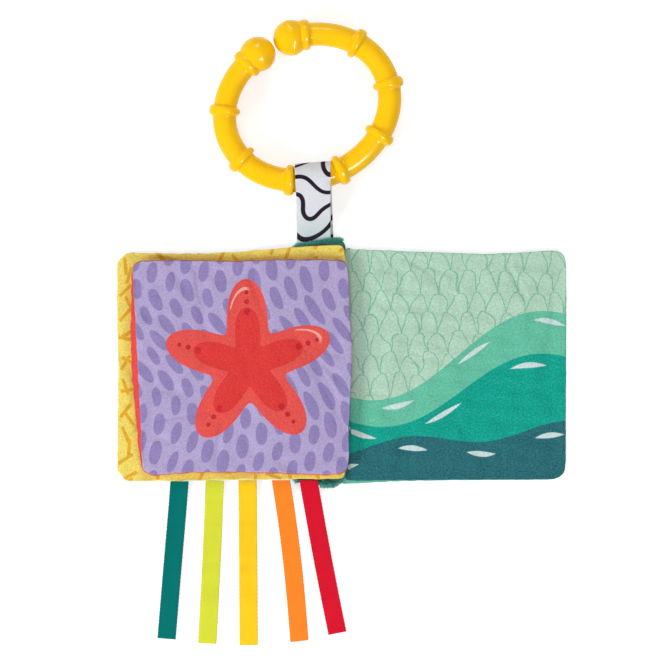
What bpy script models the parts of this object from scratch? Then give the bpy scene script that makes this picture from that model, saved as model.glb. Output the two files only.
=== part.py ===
"""Crinkle cloth book with a clip ring, lying open and face up. Metres, +Z up.

The spine runs along Y and the ring lies towards +Y. Each leaf is a sewn cushion: two cloth panels that meet at
a seam, with wadding and a crinkle film between them. The front cover lies left of the spine with the middle
page on it, and the back cover lies right of it.
"""

import math

import bpy
import numpy as np
from mathutils import Matrix, Vector

# Driving dimensions, in metres unless the name ends in share, shares, deg, count or power.
seam_gap = 0.0003
cloth_wall = 0.0007
seam_height = 0.0018
film_wall = 0.00025

bound_line = 0.0023
book_centre_y = -0.0170
cover_width = 0.12375
back_cover_width = 0.11915
cover_height = 0.1237
cover_bound_height = 0.1270
cover_thickness = 0.0044
cover_corner_radius = 0.0055
front_cover_skew = 0.0030
front_cover_top_draw = 0.0018
back_cover_top_draw = 0.0021
side_draw = 0.0005

page_width = 0.1133
page_height = 0.1152
page_thickness = 0.0040
page_lean = 0.0054
page_drop = 0.0016
page_overhang = 0.0011
page_corner_radius = 0.0048
page_bottom_draw = 0.0021

spine_width = 0.0285
spine_top_reach = 0.0022
spine_bottom_reach = 0.0035
spine_thickness = 0.0018
spine_roll_radius = 0.0013
spine_edge_round = 0.0012
leaf_slope_length = 0.024
leaf_slope_lead = 0.009
leaf_squeeze_share = 0.5

ring_long_radius = 0.0456
ring_short_radius = 0.0382
ring_turn_deg = 23.0
ring_gap_deg = 118.0
ring_gap_half_deg = 15.0
ring_tube_radius = 0.0063
ring_ball_radius = 0.0096
ring_collar_radius = 0.00835
ring_collar_width = 0.0041
ring_collar_round = 0.0004
ring_collar_count = 9
ring_end_collar = 0.0078
ring_seat_offset = 0.0039

strap_width = 0.0172
strap_centre_x = -0.0147
strap_root_gap = 0.0005
strap_wall = 0.0007
strap_loop_play = 0.0015
strap_slack = 0.0004
strap_lean_share = 0.85
strap_length = 0.0316
strap_sewn_length = 0.0075

ribbon_width = 0.0100
ribbon_wall = 0.0006
ribbon_length = 0.0874
ribbon_bend_inset = 0.0009
ribbon_wave = 0.0012
ribbon_names = ("teal", "lime", "yellow", "orange", "red")
ribbon_place_shares = (0.275, 0.4285, 0.572, 0.718, 0.838)
ribbon_length_shares = (0.980, 1.010, 1.022, 1.005, 0.966)
ribbon_fan_deg = (-4.8, -2.7, 0.4, 6.5, 10.7)
ribbon_bow_shares = (0.0, 0.003, 0.0, 0.012, -0.004)
ribbon_drop_share = 0.17

# How the surfaces are divided.
leaf_ring_shares = (1.0, 0.985, 0.955, 0.88, 0.55)
seam_ring_count = 2
face_flat_share, face_power = 0.30, 5.0
outer_flat_share, outer_power = 0.88, 2.0
page_back_flat_share, page_back_power = 0.55, 3.0
corner_steps_count = 3
side_steps_count = 7
ring_side_count = 14
strap_arc_count = 22
ribbon_step_count = 14

# Places that follow from the sizes above.
front_edge_x = bound_line - seam_gap / 2
back_edge_x = bound_line + seam_gap / 2
leaf_rise = spine_thickness + seam_gap
page_rise = leaf_rise * (1 - leaf_squeeze_share)
page_base = cover_thickness + seam_gap
page_hinge_z = page_base + page_thickness / 2 + page_rise
closed_height = 2 * (cover_thickness + seam_gap) + page_thickness + page_rise
fore_edges_middle_x = (front_edge_x - cover_width + back_edge_x + back_cover_width) / 2
spine_left_x = front_edge_x - spine_width
slope_end_x = spine_left_x - leaf_slope_lead
slope_start_x = slope_end_x - leaf_slope_length


def clear_scene():
    for item in list(bpy.data.objects):
        bpy.data.objects.remove(item, do_unlink=True)


def material(name, colour, roughness):
    """A plain finish: colour and roughness of cloth, film or moulded plastic."""
    found = bpy.data.materials.get(name)
    if found is None:
        found = bpy.data.materials.new(name)
        found.use_nodes = True
        shader = found.node_tree.nodes["Principled BSDF"]
        shader.inputs["Base Color"].default_value = (*colour, 1.0)
        shader.inputs["Roughness"].default_value = roughness
        shader.inputs["Metallic"].default_value = 0.0
    return found


def add_piece(name, points, faces, finish, smooth_deg=40.0):
    """One closed body, placed by its points, shaded smooth up to smooth_deg."""
    mesh = bpy.data.meshes.new(name)
    mesh.from_pydata([tuple(p) for p in points], [], faces)
    mesh.validate()
    mesh.shade_smooth()
    mesh.set_sharp_from_angle(angle=math.radians(smooth_deg))
    mesh.materials.append(finish)
    piece = bpy.data.objects.new(name, mesh)
    bpy.context.scene.collection.objects.link(piece)
    return piece


def set_origin(pivot, *names):
    """Moves the origin of each named piece onto its joint's axis; the surface stays where it is."""
    for name in names:
        piece = bpy.data.objects[name]
        piece.data.transform(Matrix.Translation(-Vector(pivot)))
        piece.location = pivot


def tube_faces(section_count, side_count):
    """Quads between neighbouring closed sections, and one cap at each end."""
    faces = []
    for row in range(section_count - 1):
        for side in range(side_count):
            after = (side + 1) % side_count
            low, high = row * side_count, (row + 1) * side_count
            faces.append((low + side, low + after, high + after, high + side))
    last = (section_count - 1) * side_count
    faces.append(tuple(reversed(range(side_count))))
    faces.append(tuple(range(last, last + side_count)))
    return faces


# The leaves: cushions on a rounded four-sided outline.


def leaf_outline(corners, draws, radius):
    """Anticlockwise outline from the lower left corner: quarter arcs, and sides drawn in along a parabola."""
    corners = [np.array(c) for c in corners]
    arcs = []
    for k, here in enumerate(corners):
        back = corners[k - 1] - here
        ahead = corners[(k + 1) % 4] - here
        back, ahead = back / np.linalg.norm(back), ahead / np.linalg.norm(ahead)
        centre = here + radius * (back + ahead)
        turns = np.linspace(0, math.pi / 2, corner_steps_count + 1)
        arcs.append([centre - radius * (math.cos(t) * ahead + math.sin(t) * back) for t in turns])
    points = []
    for k, arc in enumerate(arcs):
        start, end = arc[-1], arcs[(k + 1) % 4][0]
        along = (end - start) / np.linalg.norm(end - start)
        inward = np.array((-along[1], along[0]))
        points += arc
        for step in range(1, side_steps_count):
            share = step / side_steps_count
            points.append(start + (end - start) * share + inward * draws[k] * 4 * share * (1 - share))
    return np.array(points)


def dome(shares, flat_share, power):
    """Fullness of a stuffed side: none at the seam, rising steeply, then full from flat_share inwards."""
    inset = np.clip((np.array(shares) - flat_share) / (1 - flat_share), 0, 1)
    return np.sqrt(1 - inset**power)


def layer(name, outline, shares, low, high, lift, finish):
    """A closed sheet between two surfaces, each on scaled copies of the outline that close at its middle.

    Every layer is cut along the same diagonals, so that neighbouring layers keep their distance everywhere.
    """
    middle = outline.mean(axis=0)
    count, points = len(outline), []
    for heights in (high, low):
        for share, z in zip(shares, heights):
            flat = middle + (outline - middle) * share
            points += [(x, y, z) for x, y in flat]
        points.append((*middle, heights[-1]))
    points = np.array(points)
    points[:, 2] = lift(points)
    per_side = len(shares) * count + 1
    faces = []
    for side in range(count):
        after = (side + 1) % count
        for row in range(len(shares) - 1):
            a, b = row * count + side, row * count + after
            c, d = b + count, a + count
            faces += [(a, b, c), (a, c, d)]
            faces += [(per_side + c, per_side + b, per_side + a), (per_side + d, per_side + c, per_side + a)]
        inner = (len(shares) - 1) * count
        faces.append((inner + side, inner + after, per_side - 1))
        faces.append((per_side + inner + after, per_side + inner + side, 2 * per_side - 1))
        faces.append((side, per_side + side, per_side + after, after))
    return add_piece(name, points, faces, finish)


def make_leaf(prefix, names, outline, base, thickness, lift, outer_form, finishes):
    """Face panel, crinkle film, wadding and outer panel of one leaf, from the top down."""
    face_name, outer_name = names
    face_finish, outer_finish = finishes
    seam_z, half = base + thickness / 2, thickness / 2
    proud = half - seam_height / 2
    hollow = half - cloth_wall - seam_gap / 2
    rows = np.array(leaf_ring_shares)
    up = dome(rows, face_flat_share, face_power)
    down = dome(rows, *outer_form)
    layer(prefix + face_name, outline, rows, seam_z + seam_gap / 2 + hollow * up,
          seam_z + seam_height / 2 + proud * up, lift, face_finish)
    layer(prefix + outer_name, outline, rows, seam_z - seam_height / 2 - proud * down,
          seam_z - seam_gap / 2 - hollow * down, lift, outer_finish)
    fill_rows = rows[seam_ring_count:]
    up = dome(fill_rows, face_flat_share, face_power)
    down = dome(fill_rows, *outer_form)
    film_top = seam_z - seam_gap / 2 + hollow * up
    film_low = film_top - film_wall
    layer(prefix + "film", outline, fill_rows, film_low, film_top, lift, film_finish)
    layer(prefix + "wadding", outline, fill_rows, seam_z + seam_gap / 2 - hollow * down,
          film_low - seam_gap, lift, wadding_finish)


def slope(x):
    """0 on the flat part of the leaves, rising smoothly to 1 before the spine band begins."""
    t = np.clip((x - slope_start_x) / (slope_end_x - slope_start_x), 0, 1)
    return t * t * (3 - 2 * t)


def front_lift(points):
    """The front cover climbs onto the spine band and is squeezed thinner there."""
    x, z = points[:, 0], points[:, 2]
    return z + leaf_rise * slope(x) * (1 - leaf_squeeze_share * z / cover_thickness)


def page_lift(points):
    return points[:, 2] + page_rise * slope(points[:, 0])


def no_lift(points):
    return points[:, 2]


def cover_corners(fore_x, bound_x, skew):
    """Corners of a cover, anticlockwise from the lower left; its bound edge is the longer one."""
    fore_mid, bound_mid = book_centre_y - skew / 2, book_centre_y + skew / 2
    fore = [(fore_x, fore_mid - cover_height / 2), (fore_x, fore_mid + cover_height / 2)]
    bound = [(bound_x, bound_mid - cover_bound_height / 2), (bound_x, bound_mid + cover_bound_height / 2)]
    if fore_x < bound_x:
        return [fore[0], bound[0], bound[1], fore[1]]
    return [bound[0], fore[0], fore[1], bound[1]]


def front_corners():
    return cover_corners(front_edge_x - cover_width, front_edge_x, front_cover_skew)


def make_leaves():
    front = leaf_outline(front_corners(), (side_draw, side_draw, front_cover_top_draw, side_draw), cover_corner_radius)
    outer_form = (outer_flat_share, outer_power)
    make_leaf("front_cover_", ("face", "outer"), front, 0.0, cover_thickness, front_lift, outer_form,
              (yellow_finish, teal_plush_finish))
    back_corners = cover_corners(back_edge_x + back_cover_width, back_edge_x, 0.0)
    back = leaf_outline(back_corners, (side_draw, side_draw, back_cover_top_draw, side_draw), cover_corner_radius)
    make_leaf("back_cover_", ("face", "outer"), back, 0.0, cover_thickness, no_lift, outer_form,
              (mint_print_finish, mint_finish))
    set_origin((fore_edges_middle_x, book_centre_y, closed_height / 2),
               "back_cover_face", "back_cover_outer", "back_cover_film", "back_cover_wadding")
    right = bound_line + page_overhang
    left, mid_y = right - page_width, book_centre_y - page_drop
    low_y, high_y = mid_y - page_height / 2, mid_y + page_height / 2
    page_corners = [(left + page_lean / 2, low_y), (right, low_y), (right, high_y), (left - page_lean / 2, high_y)]
    page = leaf_outline(page_corners, (page_bottom_draw, 0.0, side_draw, 0.0), page_corner_radius)
    make_leaf("page_", ("face", "back"), page, page_base, page_thickness, page_lift,
              (page_back_flat_share, page_back_power), (lavender_finish, coral_finish))
    set_origin((bound_line, mid_y, page_hinge_z), "page_face", "page_back", "page_film", "page_wadding")


# The spine band: a strip of plush with a rolled hem at each end.


def make_spine():
    """The band's side outline, carried across its width; its two long edges are pressed thinner."""
    bound_low, bound_high = front_corners()[1][1], front_corners()[2][1]
    low_y, high_y = bound_low - spine_bottom_reach, bound_high + spine_top_reach
    fall = math.asin((spine_thickness - spine_roll_radius) / spine_roll_radius)
    turns = np.linspace(-math.pi / 2, math.pi - fall, 9)
    top_roll = [(high_y - spine_roll_radius + spine_roll_radius * math.cos(t),
                 spine_roll_radius + spine_roll_radius * math.sin(t)) for t in turns]
    bottom_roll = [(low_y + spine_roll_radius - spine_roll_radius * math.cos(t),
                    spine_roll_radius + spine_roll_radius * math.sin(t)) for t in turns]
    profile = top_roll + list(reversed(bottom_roll))
    left, right = spine_left_x, front_edge_x
    stations = (left, left + spine_edge_round, right - spine_edge_round, right)
    press_shares = (0.55, 1.0, 1.0, 0.55)
    points = [(x, y, z * press) for x, press in zip(stations, press_shares) for y, z in profile]
    add_piece("spine_band", points, tube_faces(len(stations), len(profile)), teal_plush_finish)
    return high_y


# The clip ring: one round section carried along an open oval, with collars and ball ends.


def ring_point(angle_deg):
    """Point of the oval centre line at a polar angle, in the ring's own plane, measured from its middle."""
    local = math.radians(angle_deg - ring_turn_deg)
    t = math.atan2(math.sin(local) / ring_short_radius, math.cos(local) / ring_long_radius)
    x, y = ring_long_radius * math.cos(t), ring_short_radius * math.sin(t)
    turn = math.radians(ring_turn_deg)
    return np.array((x * math.cos(turn) - y * math.sin(turn), x * math.sin(turn) + y * math.cos(turn)))


def ring_path():
    """Points of the centre line from one ball to the other, clockwise, and their distance along it."""
    start, end = ring_gap_deg - ring_gap_half_deg, ring_gap_deg - 360 + ring_gap_half_deg
    points = np.array([ring_point(a) for a in np.linspace(start, end, 721)])
    steps = np.linalg.norm(np.diff(points, axis=0), axis=1)
    return points, np.concatenate(([0.0], np.cumsum(steps)))


def ring_stations():
    """Distances along the centre line, with the ring's radius at each: ball, collars and tube, ball."""
    _, run = ring_path()
    length = run[-1]
    half = ring_collar_width / 2
    collars = np.linspace(ring_end_collar, length - ring_end_collar, ring_collar_count)
    ball_shares = (-1.0, -0.94, -0.72, -0.4, 0.0, 0.35)
    ball = [(ring_ball_radius * s, ring_ball_radius * math.sqrt(1 - s * s)) for s in ball_shares]
    ball[0] = (ball[0][0], ring_collar_round)
    first = [(d, r) for d, r in ball]
    rows = []
    for k, centre in enumerate(collars):
        rise = half - ring_collar_round
        edge = ring_collar_radius - ring_collar_round
        before = after = ring_tube_radius
        if k == 0:
            before = min(edge, math.sqrt(ring_ball_radius**2 - (centre - half) ** 2))
        if k == ring_collar_count - 1:
            after = min(edge, math.sqrt(ring_ball_radius**2 - (length - centre - half) ** 2))
        rows += [(centre - half, before), (centre - rise, edge), (centre - rise / 2, ring_collar_radius)]
        rows += [(centre + rise / 2, ring_collar_radius), (centre + rise, edge), (centre + half, after)]
        if k < ring_collar_count - 1:
            span = collars[k + 1] - centre - ring_collar_width
            rows += [(centre + half + span * s, ring_tube_radius) for s in (0.33, 0.67)]
    last = [(length - d, r) for d, r in reversed(first)]
    return first + rows + last


def ring_frame():
    """Middle of the ring, and the slope of its plane: it rests on its two balls and its lowest collars."""
    gap_line = np.array((math.cos(math.radians(ring_gap_deg)), math.sin(math.radians(ring_gap_deg))))
    ball_reach = ring_point(ring_gap_deg - ring_gap_half_deg) @ gap_line
    foot_reach = ring_point(ring_gap_deg - 180) @ gap_line
    incline = (ring_ball_radius - ring_collar_radius) / (ball_reach - foot_reach)
    foot_z = ring_collar_radius + seam_gap / 2
    return gap_line, incline, foot_reach, foot_z


def strap_seat():
    """Polar angle at which the tube crosses the middle of the strap."""
    angles = np.linspace(-110, -50, 1201)
    places = np.array([ring_point(a)[0] for a in angles])
    return angles[np.argmin(np.abs(places - ring_seat_offset))]


def tube_offset(aside):
    """How far towards +Y the tube lies at a distance aside of the strap's middle, compared with its seat."""
    points, _ = ring_path()
    low = points[points[:, 1] < ring_point(ring_turn_deg)[1]]
    low = low[np.argsort(low[:, 0])]
    there, here = np.interp((ring_seat_offset + aside, ring_seat_offset), low[:, 0], low[:, 1])
    return there - here


def make_ring(middle):
    points, run = ring_path()
    gap_line, incline, foot_reach, foot_z = ring_frame()
    rows = []
    for distance, radius in ring_stations():
        inside = min(max(distance, 0.0), run[-1])
        here = np.array([np.interp(inside, run, points[:, k]) for k in range(2)])
        step = run[-1] / 720
        ahead = np.array([np.interp(min(inside + step, run[-1]), run, points[:, k]) for k in range(2)])
        behind = np.array([np.interp(max(inside - step, 0.0), run, points[:, k]) for k in range(2)])
        along = (ahead - behind) / np.linalg.norm(ahead - behind)
        here = here + along * (distance - inside)
        centre = np.array((*here, foot_z + incline * (here @ gap_line - foot_reach)))
        tangent = np.array((*along, incline * (along @ gap_line)))
        tangent /= np.linalg.norm(tangent)
        side = np.cross((0.0, 0.0, 1.0), tangent)
        side /= np.linalg.norm(side)
        up = np.cross(tangent, side)
        for turn in np.arange(ring_side_count) * 2 * math.pi / ring_side_count:
            spoke = side * math.cos(turn) + up * math.sin(turn)
            rows.append(centre + radius * spoke + np.array((*middle, 0.0)))
    add_piece("ring", rows, tube_faces(len(rows) // ring_side_count, ring_side_count), ring_finish, 50.0)


# The strap: a band folded over the ring's tube, its two ends sewn together at the spine.


def drop_shape(far, far_radius, near, near_radius, count):
    """Outline of a taut band round two circles in the Y-Z plane: a teardrop with its tip at near."""
    reach = np.array(far) - np.array(near)
    distance = np.linalg.norm(reach)
    heading = math.atan2(reach[1], reach[0])
    lean = math.acos((far_radius - near_radius) / distance)
    big = np.linspace(-(math.pi - lean), math.pi - lean, count)
    small = np.linspace(math.pi - lean, math.pi + lean, 5)
    outline = [np.array(far) + far_radius * np.array((math.cos(heading + t), math.sin(heading + t))) for t in big]
    outline += [np.array(near) + near_radius * np.array((math.cos(heading + t), math.sin(heading + t))) for t in small]
    return outline


def make_strap(hinge_y, root_radius, seat_y, seat_z):
    """The band's side outline at its left and right edge; each edge leans towards the tube that it holds."""
    inner_radius = ring_tube_radius + strap_loop_play
    lean = strap_lean_share * (tube_offset(strap_width / 2) - tube_offset(-strap_width / 2)) / 2
    points = []
    for side in (-1, 1):
        far = (seat_y + strap_slack + side * lean, seat_z)
        outer = drop_shape(far, inner_radius + strap_wall, (hinge_y, root_radius), root_radius, strap_arc_count)
        tip = (hinge_y + strap_sewn_length, root_radius * (1 + strap_sewn_length / strap_length))
        inner = drop_shape(far, inner_radius, tip, seam_gap / 2, strap_arc_count)
        x = strap_centre_x + side * strap_width / 2
        points += [(x, y, z) for y, z in outer + inner]
    count = len(outer)
    lo, li, ro, ri = (block * count for block in range(4))
    faces = []
    for k in range(count):
        after = (k + 1) % count
        faces.append((lo + after, ro + after, ro + k, lo + k))
        faces.append((li + k, ri + k, ri + after, li + after))
        faces.append((li + k, li + after, lo + after, lo + k))
        faces.append((ri + after, ri + k, ro + k, ro + after))
    add_piece("strap_loop", points, faces, strap_finish)


# The ribbons: flat strips from the front cover's bottom seam, which drop to the table and lie in a fan.


def make_ribbon(name, place_share, length_share, fan_deg, bow_share, finish):
    lower_left, lower_right = (np.array(c) for c in front_corners()[:2])
    seam = lower_left + (lower_right - lower_left) * place_share
    draw = side_draw * 4 * place_share * (1 - place_share)
    start = np.array((seam[0], seam[1] + draw - seam_gap - side_draw / 2))
    fan = math.radians(fan_deg)
    heading = np.array((math.sin(fan), -math.cos(fan)))
    aside = np.array((math.cos(fan), math.sin(fan)))
    length = ribbon_length * length_share
    start_z = front_lift(np.array([(*start, cover_thickness / 2)]))[0]
    points = []
    for step in range(ribbon_step_count + 1):
        share = (step / ribbon_step_count) ** 1.4
        fall = min(share / ribbon_drop_share, 1.0)
        height = (start_z - ribbon_wall / 2) * (1 - fall * fall * (3 - 2 * fall))
        bump = max(share - ribbon_drop_share, 0.0) / (1 - ribbon_drop_share)
        height += ribbon_wave * math.sin(math.pi * bump) ** 2
        bow = length * bow_share * math.sin(math.pi * share)
        centre = start + heading * length * share + aside * bow
        turn = fan * min(1.0, share / ribbon_drop_share)
        across = np.array((math.cos(turn), math.sin(turn))) * ribbon_width / 2
        left, right = centre - across, centre + across
        points += [(*left, height), (*right, height), (*right, height + ribbon_wall), (*left, height + ribbon_wall)]
    add_piece("ribbon_" + name, points, tube_faces(ribbon_step_count + 1, 4), finish, 30.0)
    set_origin((start[0], start[1] - ribbon_bend_inset, start_z), "ribbon_" + name)


clear_scene()
ring_finish = material("ring_plastic", (0.95, 0.58, 0.01), 0.28)
strap_finish = material("strap_cloth", (0.80, 0.82, 0.83), 0.85)
teal_plush_finish = material("teal_plush", (0.0, 0.16, 0.13), 0.95)
yellow_finish = material("yellow_cloth", (0.83, 0.66, 0.17), 0.85)
lavender_finish = material("lavender_cloth", (0.46, 0.38, 0.65), 0.85)
coral_finish = material("coral_cloth", (0.78, 0.09, 0.08), 0.85)
mint_print_finish = material("mint_print_cloth", (0.42, 0.67, 0.50), 0.85)
mint_finish = material("mint_cloth", (0.15, 0.55, 0.40), 0.85)
film_finish = material("crinkle_film", (0.85, 0.86, 0.88), 0.20)
wadding_finish = material("wadding", (0.90, 0.90, 0.88), 0.95)
ribbon_colours = ((0.0, 0.19, 0.16), (0.68, 0.75, 0.04), (0.95, 0.63, 0.02), (1.0, 0.24, 0.02), (0.67, 0.01, 0.03))

make_leaves()
spine_top_y = make_spine()
strap_root_radius = strap_wall + seam_gap / 2
strap_hinge_y = spine_top_y + strap_root_gap + strap_root_radius
seat_y = strap_hinge_y + strap_length
seat = ring_point(strap_seat())
ring_middle = np.array((strap_centre_x, seat_y)) - seat
gap_direction, ring_incline, foot_distance, foot_height = ring_frame()
seat_z = foot_height + ring_incline * (seat @ gap_direction - foot_distance)
make_ring(ring_middle)
make_strap(strap_hinge_y, strap_root_radius, seat_y, seat_z)
set_origin((strap_centre_x, strap_hinge_y, strap_root_radius), "strap_loop")
set_origin((strap_centre_x, seat_y, seat_z), "ring")
for k, ribbon in enumerate(ribbon_names):
    cloth = material(ribbon + "_ribbon", ribbon_colours[k], 0.6)
    make_ribbon(ribbon, ribbon_place_shares[k], ribbon_length_shares[k], ribbon_fan_deg[k], ribbon_bow_shares[k], cloth)
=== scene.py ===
"""Looks of the crinkle cloth book: ring, strap, three leaves, spine band and five ribbons."""

import math

import bpy
import numpy as np
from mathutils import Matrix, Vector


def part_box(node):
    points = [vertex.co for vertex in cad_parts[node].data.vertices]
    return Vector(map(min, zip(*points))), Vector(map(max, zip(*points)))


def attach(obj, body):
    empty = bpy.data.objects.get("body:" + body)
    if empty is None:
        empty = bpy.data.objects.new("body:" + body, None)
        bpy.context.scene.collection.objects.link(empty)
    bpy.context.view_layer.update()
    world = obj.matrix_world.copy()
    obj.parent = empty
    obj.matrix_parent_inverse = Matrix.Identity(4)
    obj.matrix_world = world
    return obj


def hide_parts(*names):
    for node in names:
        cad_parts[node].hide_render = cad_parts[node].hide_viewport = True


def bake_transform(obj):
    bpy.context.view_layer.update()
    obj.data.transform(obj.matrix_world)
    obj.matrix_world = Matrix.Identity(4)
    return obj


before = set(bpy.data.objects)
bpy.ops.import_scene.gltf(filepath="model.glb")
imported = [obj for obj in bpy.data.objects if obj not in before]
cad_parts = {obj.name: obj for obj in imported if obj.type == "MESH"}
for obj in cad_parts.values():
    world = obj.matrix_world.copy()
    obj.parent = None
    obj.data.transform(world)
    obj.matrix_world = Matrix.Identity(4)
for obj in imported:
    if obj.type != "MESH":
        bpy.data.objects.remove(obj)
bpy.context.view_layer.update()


# Clip ring
# One injection-moulded plastic ring in glossy yellow: a round tube bent to an open oval, nine rounded
# collars, and a ball at each end. It snaps through the strap's loop and swings there.

ring_long_radius, ring_short_radius = 0.0456, 0.0382
ring_turn, ring_gap, ring_gap_half = math.radians(23), math.radians(118), math.radians(15)
ring_tube_radius, ring_ball_radius, ring_neck_length = 0.0063, 0.0096, 0.0040
ring_collar_count = 9
ring_collar_radius, ring_collar_half, ring_end_collar = 0.00835, 0.00245, 0.0078
ring_sides = 64


def grid_faces(rows, columns, round_rows=False):
    """Quads of a grid of points whose columns close on themselves; round_rows closes the rows as well."""
    index = np.arange(rows * columns).reshape(rows, columns)
    after = np.roll(index, -1, axis=1)
    if round_rows:
        index, after = np.vstack((index, index[:1])), np.vstack((after, after[:1]))
    return np.stack((index[:-1], after[:-1], after[1:], index[1:]), axis=-1).reshape(-1, 4)


def make_mesh(name, points, faces, finish, flat_places=None):
    """A smooth mesh from (n, 3) points and lists of corner numbers; flat_places gives each point's (u, v)."""
    mesh = bpy.data.meshes.new(name)
    mesh.from_pydata(np.asarray(points).tolist(), [], faces)
    mesh.shade_smooth()
    mesh.materials.append(finish)
    if flat_places is not None:
        corners = np.empty(len(mesh.loops), np.int32)
        mesh.loops.foreach_get("vertex_index", corners)
        layer = mesh.uv_layers.new(name="UVMap")
        layer.data.foreach_set("uv", np.asarray(flat_places, np.float32)[corners].ravel())
    piece = bpy.data.objects.new(name, mesh)
    bpy.context.scene.collection.objects.link(piece)
    return piece


def round_body(name, grid, finish, flat_grid=None):
    """A closed body from a (rows, columns, 3) grid with round columns; a fan at each end closes its pole."""
    rows, columns = grid.shape[:2]
    points = np.vstack((grid.reshape(-1, 3), grid[0].mean(axis=0), grid[-1].mean(axis=0)))
    ring = np.arange(columns)
    after, last, pole = np.roll(ring, -1), (rows - 1) * columns, rows * columns
    low = np.stack((after, ring, np.full(columns, pole)), axis=-1)
    high = np.stack((last + ring, last + after, np.full(columns, pole + 1)), axis=-1)
    faces = grid_faces(rows, columns).tolist() + low.tolist() + high.tolist()
    flat = None
    if flat_grid is not None:
        flat = np.vstack((flat_grid.reshape(-1, 2), flat_grid[0].mean(axis=0), flat_grid[-1].mean(axis=0)))
    return make_mesh(name, points, faces, finish, flat)


def oval_point(angle):
    """Point of the turned oval at a polar angle: (a cos t, b sin t), then turned by the oval's own turn."""
    local = angle - ring_turn
    t = np.arctan2(np.sin(local) / ring_short_radius, np.cos(local) / ring_long_radius)
    x, y = ring_long_radius * np.cos(t), ring_short_radius * np.sin(t)
    return np.stack((x * math.cos(ring_turn) - y * math.sin(ring_turn),
                     x * math.sin(ring_turn) + y * math.cos(ring_turn)), axis=-1)


def ring_radius(distance, length, collar_centres):
    """Tube, balls and collars at a distance along the path: a smooth greatest of the three.

    A ball is a half circle, and a collar is proud * (1 - off^2.4)^0.45, a flat-topped arc. The radii are
    joined as (ball^n + tube^n + collar^n)^(1/n), which rounds the creases between them.
    """
    sharpness = 24
    from_end = np.minimum(distance, length - distance)
    ball = np.sqrt(np.clip(ring_ball_radius**2 - from_end**2, 0, None))
    tube = ring_tube_radius * np.clip(from_end / ring_neck_length, 0, 1)
    off = np.abs(distance[:, None] - collar_centres).min(axis=1) / ring_collar_half
    proud = ring_collar_radius - ring_tube_radius
    collar = np.where(off < 1, ring_tube_radius + proud * np.clip(1 - off**2.4, 0, 1) ** 0.45, 0)
    return (ball**sharpness + tube**sharpness + collar**sharpness) ** (1 / sharpness)


def ring_grid():
    """Points on circles round the oval's path, closest together on the balls and collars.

    The path's plane leans, so that the balls and the collars of the far side all touch the table.
    """
    path_steps, tube_steps, cap_steps, collar_steps = 1441, 190, 18, 19
    pole_angle, collar_angle = 0.05, 1.56
    start, end = ring_gap - ring_gap_half, ring_gap + ring_gap_half - 2 * math.pi
    path = oval_point(np.linspace(start, end, path_steps))
    run = np.concatenate(([0], np.cumsum(np.linalg.norm(np.diff(path, axis=0), axis=1))))
    length = run[-1]
    caps = ring_ball_radius * np.cos(np.linspace(pole_angle, math.pi / 2, cap_steps))
    collar_centres = np.linspace(ring_end_collar, length - ring_end_collar, ring_collar_count)
    collar_turns = np.linspace(-collar_angle, collar_angle, collar_steps)
    near = (collar_centres[:, None] + ring_collar_half * np.sin(collar_turns)).ravel()
    stations = np.unique(np.concatenate((-caps, length + caps, near, np.linspace(0, length, tube_steps))))
    inside = np.clip(stations, 0, length)
    flat = np.stack([np.interp(inside, run, path[:, k]) for k in range(2)], axis=-1)
    slopes = np.gradient(path, run, axis=0)
    along = np.stack([np.interp(inside, run, slopes[:, k]) for k in range(2)], axis=-1)
    along /= np.linalg.norm(along, axis=1, keepdims=True)
    flat = flat + along * (stations - inside)[:, None]
    gap_line = np.array((math.cos(ring_gap), math.sin(ring_gap)))
    foot = oval_point(ring_gap - math.pi) @ gap_line
    incline = (ring_ball_radius - ring_collar_radius) / (path[0] @ gap_line - foot)
    centre = np.column_stack((flat, incline * (flat @ gap_line - foot)))
    tangent = np.column_stack((along, incline * (along @ gap_line)))
    tangent /= np.linalg.norm(tangent, axis=1, keepdims=True)
    side = np.cross((0.0, 0.0, 1.0), tangent)
    side /= np.linalg.norm(side, axis=1, keepdims=True)
    up = np.cross(tangent, side)
    turns = np.arange(ring_sides) * 2 * math.pi / ring_sides
    spokes = side[:, None] * np.cos(turns)[:, None] + up[:, None] * np.sin(turns)[:, None]
    return centre[:, None] + spokes * ring_radius(stations, length, collar_centres)[:, None, None]


def seated(grid, node):
    """The grid moved so that the middle of its box is the middle of the CAD node's box."""
    low, high = (np.array(corner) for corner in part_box(node))
    points = grid.reshape(-1, 3)
    return grid + (low + high) / 2 - (points.min(axis=0) + points.max(axis=0)) / 2


def linear(colour):
    """Linear light for a colour given as 0-255 red, green and blue, by the sRGB curve."""
    share = np.asarray(colour, float) / 255
    return tuple(np.where(share <= 0.04045, share / 12.92, ((share + 0.055) / 1.055) ** 2.4)) + (1.0,)


class Field:
    """A value worked out from place to place in a material: each sum or product becomes one Math node."""

    def __init__(self, tree, socket):
        self.tree, self.socket = tree, socket

    def made(self, kind, *others, clamp=False):
        step = self.tree.nodes.new("ShaderNodeMath")
        step.operation, step.use_clamp = kind, clamp
        for slot, value in zip(step.inputs, (self, *others)):
            if isinstance(value, Field):
                self.tree.links.new(value.socket, slot)
            else:
                slot.default_value = value
        return Field(self.tree, step.outputs[0])

    def __add__(self, other):
        return self.made("ADD", other)

    def __sub__(self, other):
        return self.made("SUBTRACT", other)

    def __mul__(self, other):
        return self.made("MULTIPLY", other)

    def __truediv__(self, other):
        return self.made("DIVIDE", other)

    def __abs__(self):
        return self.made("ABSOLUTE")

    def power(self, other):
        return self.made("POWER", other)

    def sine(self):
        return self.made("SINE")

    def below(self, edge, soft, reach=0.0):
        """1 where the value less a reach is below the edge, 0 above it, with a soft border."""
        return ((self - reach - edge) * (-1 / soft)).made("ADD", 0.5, clamp=True)


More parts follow.
